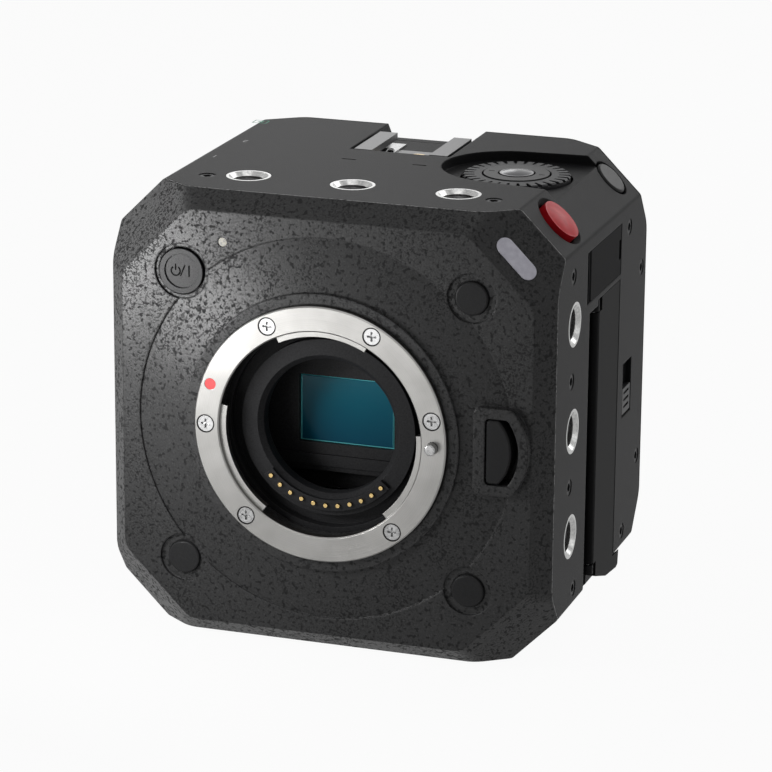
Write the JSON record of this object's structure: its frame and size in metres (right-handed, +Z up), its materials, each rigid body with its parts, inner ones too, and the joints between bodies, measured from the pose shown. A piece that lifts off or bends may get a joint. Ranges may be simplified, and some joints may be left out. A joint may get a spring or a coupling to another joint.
{
  "type": "box-style mirrorless camera body",
  "caption": "Cube-shaped interchangeable-lens camera body with a round lens mount, bevelled front, threaded sockets, control dial, accessory shoe and hinged card door.",
  "frame": {"origin": "centre of the bounding box's bottom face: under the lens axis, midway between the lock pin's tip and the back", "axes": "-Y points out of the lens mount, +X is the side with the card door, +Z is up through the accessory shoe"},
  "size_m": [0.093, 0.0798, 0.093],
  "materials": {
    "cover_speckled": "speckled satin paint",
    "shell_dark": "fine satin paint",
    "door_dark": "fine satin paint",
    "inner_metal": "plain cast",
    "ring_steel": "satin",
    "small_steel": "satin",
    "insert_steel": "turned",
    "red_dot": "gloss",
    "shield_dark": "matte",
    "black_plastic": "matte",
    "gold": "gold plated",
    "cover_glass": "coated",
    "sensor_teal": "iridescent",
    "grey_plastic": "matte",
    "board_green": "varnished",
    "button_dark": "satin",
    "led_pale": "clear",
    "lamp_pale": "frosted",
    "record_red": "gloss",
    "dial_metal": "dark anodised",
    "bright_cap": "polished",
    "shoe_black": "satin",
    "screw_black": "black",
    "soft_cover": "matte",
    "socket_metal": "plated"
  },
  "bodies": {
    "body": {"front_cover": "cover_speckled", "main_shell": "shell_dark", "rear_cover": "shell_dark", "inner_frame": "inner_metal", "heat_sink": "inner_metal", "lens_ring": "ring_steel", "ring_screws": "small_steel", "ring_springs": "small_steel", "door_pin": "small_steel", "cover_pin": "small_steel", "shoe_spring": "small_steel", "socket_inserts": "insert_steel", "index_dot": "red_dot", "light_shield": "shield_dark", "contact_strip": "black_plastic", "contact_pins": "gold", "shoe_contacts": "gold", "battery_terminals": "gold", "sensor_glass": "cover_glass", "sensor_chip": "sensor_teal", "sensor_holder": "grey_plastic", "sensor_board": "shield_dark", "main_board": "board_green", "fan_housing": "black_plastic", "screw_caps": "button_dark", "status_led": "led_pale", "tally_lamp": "lamp_pale", "dial_hub": "black_plastic", "shoe_rails": "shoe_black", "case_screws": "screw_black", "vent_louvre": "black_plastic", "card_slot": "black_plastic", "side_sockets": "socket_metal", "battery_plate": "black_plastic", "dc_socket": "socket_metal", "control_socket": "socket_metal", "sync_socket": "socket_metal", "audio_jacks": "black_plastic", "network_socket": "socket_metal", "video_socket": "socket_metal"},
    "fan": {"fan_rotor": "black_plastic"},
    "power": {"power_button": "button_dark"},
    "release": {"release_button": "button_dark"},
    "lock_pin": {"lock_pin": "small_steel"},
    "record": {"record_button": "record_red"},
    "function": {"function_button": "button_dark"},
    "left_a": {"left_button_a": "button_dark"},
    "left_b": {"left_button_b": "button_dark"},
    "left_c": {"left_button_c": "button_dark"},
    "dial": {"control_dial": "dial_metal"},
    "pad_seat": {"dial_pad_seat": "black_plastic"},
    "pad": {"dial_pad": "button_dark"},
    "dial_centre": {"dial_button": "bright_cap"},
    "door": {"card_door": "door_dark"},
    "latch": {"lock_slider": "button_dark"},
    "cover": {"side_cover": "soft_cover"},
    "battery_catch": {"battery_release": "button_dark"}
  },
  "joints": [
    {"name": "fan_spin", "type": "hinge", "parent": "body", "child": "fan", "pos_m": [0, 0.0069, 0.0465], "axis": [0, 1, 0], "continuous": true},
    {"name": "power_press", "type": "slide", "parent": "body", "child": "power", "axis": [0, 1, 0], "range_m": [0, 0.0006], "stiffness_N_per_m": 500, "springref_m": -0.0015},
    {"name": "release_press", "type": "slide", "parent": "body", "child": "release", "axis": [0, 1, 0], "range_m": [0, 0.0018], "stiffness_N_per_m": 400, "springref_m": -0.002},
    {"name": "lock_pin_draw", "type": "slide", "parent": "body", "child": "lock_pin", "axis": [0, 1, 0], "range_m": [0, 0.0018]},
    {"name": "record_press", "type": "slide", "parent": "body", "child": "record", "axis": [-0.7071, 0, -0.7071], "range_m": [0, 0.0006], "stiffness_N_per_m": 500, "springref_m": -0.0015},
    {"name": "function_press", "type": "slide", "parent": "body", "child": "function", "axis": [-0.7071, 0, -0.7071], "range_m": [0, 0.0005], "stiffness_N_per_m": 500, "springref_m": -0.0015},
    {"name": "left_a_press", "type": "slide", "parent": "body", "child": "left_a", "axis": [0.7071, 0, -0.7071], "range_m": [0, 0.0005], "stiffness_N_per_m": 500, "springref_m": -0.0015},
    {"name": "left_b_press", "type": "slide", "parent": "body", "child": "left_b", "axis": [0.7071, 0, -0.7071], "range_m": [0, 0.0005], "stiffness_N_per_m": 500, "springref_m": -0.0015},
    {"name": "left_c_press", "type": "slide", "parent": "body", "child": "left_c", "axis": [0.7071, 0, -0.7071], "range_m": [0, 0.0005], "stiffness_N_per_m": 500, "springref_m": -0.0015},
    {"name": "dial_turn", "type": "hinge", "parent": "body", "child": "dial", "pos_m": [0.0266, 0.0068, 0.0905], "axis": [0, 0, 1], "continuous": true},
    {"name": "pad_rock_front_back", "type": "hinge", "parent": "body", "child": "pad_seat", "pos_m": [0.0266, 0.0068, 0.0905], "axis": [1, 0, 0], "range_deg": [-1.2, 1.2], "stiffness_Nm_per_rad": 0.05},
    {"name": "pad_rock_left_right", "type": "hinge", "parent": "pad_seat", "child": "pad", "pos_m": [0.0266, 0.0068, 0.09072], "axis": [0, 1, 0], "range_deg": [-1.5, 1.5], "stiffness_Nm_per_rad": 0.05},
    {"name": "dial_centre_press", "type": "slide", "parent": "body", "child": "dial_centre", "axis": [0, 0, -1], "range_m": [0, 0.0005], "stiffness_N_per_m": 500, "springref_m": -0.0015},
    {"name": "door_swing", "type": "hinge", "parent": "body", "child": "door", "pos_m": [0.04515, 0.00035, 0.03925], "axis": [0, 0, -1], "range_deg": [0, 100]},
    {"name": "latch_slide", "type": "slide", "parent": "body", "child": "latch", "axis": [0, 0, 1], "range_m": [0, 0.005]},
    {"name": "cover_swing", "type": "hinge", "parent": "body", "child": "cover", "pos_m": [0.04535, -0.00845, 0.0756], "axis": [0, 0, -1], "range_deg": [0, 100]},
    {"name": "battery_catch_slide", "type": "slide", "parent": "body", "child": "battery_catch", "axis": [0, 0, 1], "range_m": [0, 0.0028], "stiffness_N_per_m": 300, "springref_m": -0.002}
  ],
  "couplings": [
    {"joint": "lock_pin_draw", "follows": "release_press", "ratio": 1}
  ]
}
